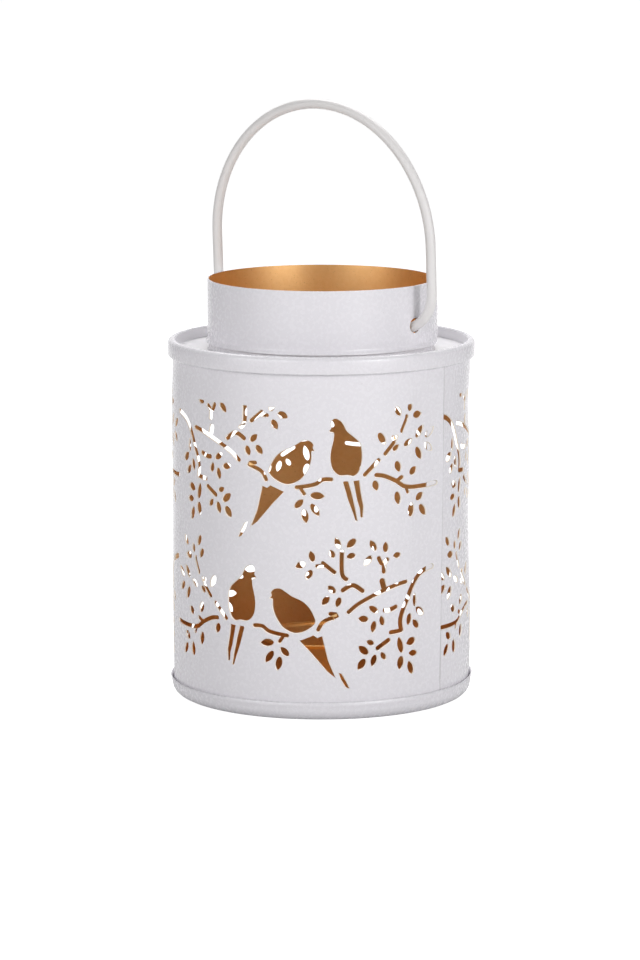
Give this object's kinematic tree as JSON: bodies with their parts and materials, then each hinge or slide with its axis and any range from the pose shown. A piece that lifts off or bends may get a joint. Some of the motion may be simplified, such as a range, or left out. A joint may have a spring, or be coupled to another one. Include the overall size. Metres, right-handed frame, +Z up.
{
  "type": "metal lantern",
  "caption": "Round sheet-metal candle lantern with a pierced sleeve, recessed shoulder, open neck, inner candle cup and swinging wire bail.",
  "frame": {"origin": "on the table under the middle of the base", "axes": "+Z up, +X along the bail's pivot line towards the sleeve's lap seam, Y across the bail"},
  "size_m": [0.123, 0.123, 0.24],
  "materials": {
    "white_paint": "gloss",
    "handle_paint": "satin",
    "gold_paint": "satin metallic"
  },
  "bodies": {
    "lantern_body": {"body_sleeve": "white_paint", "shoulder_cap": "white_paint", "neck_collar": "white_paint", "base_pan": "white_paint", "candle_cup": "gold_paint"},
    "bail": {"bail_handle": "handle_paint"}
  },
  "joints": [
    {"name": "bail_hinge", "type": "hinge", "parent": "lantern_body", "child": "bail", "pos_m": [0, 0, 0.152], "axis": [1, 0, 0], "range_deg": [-102, 97]}
  ]
}
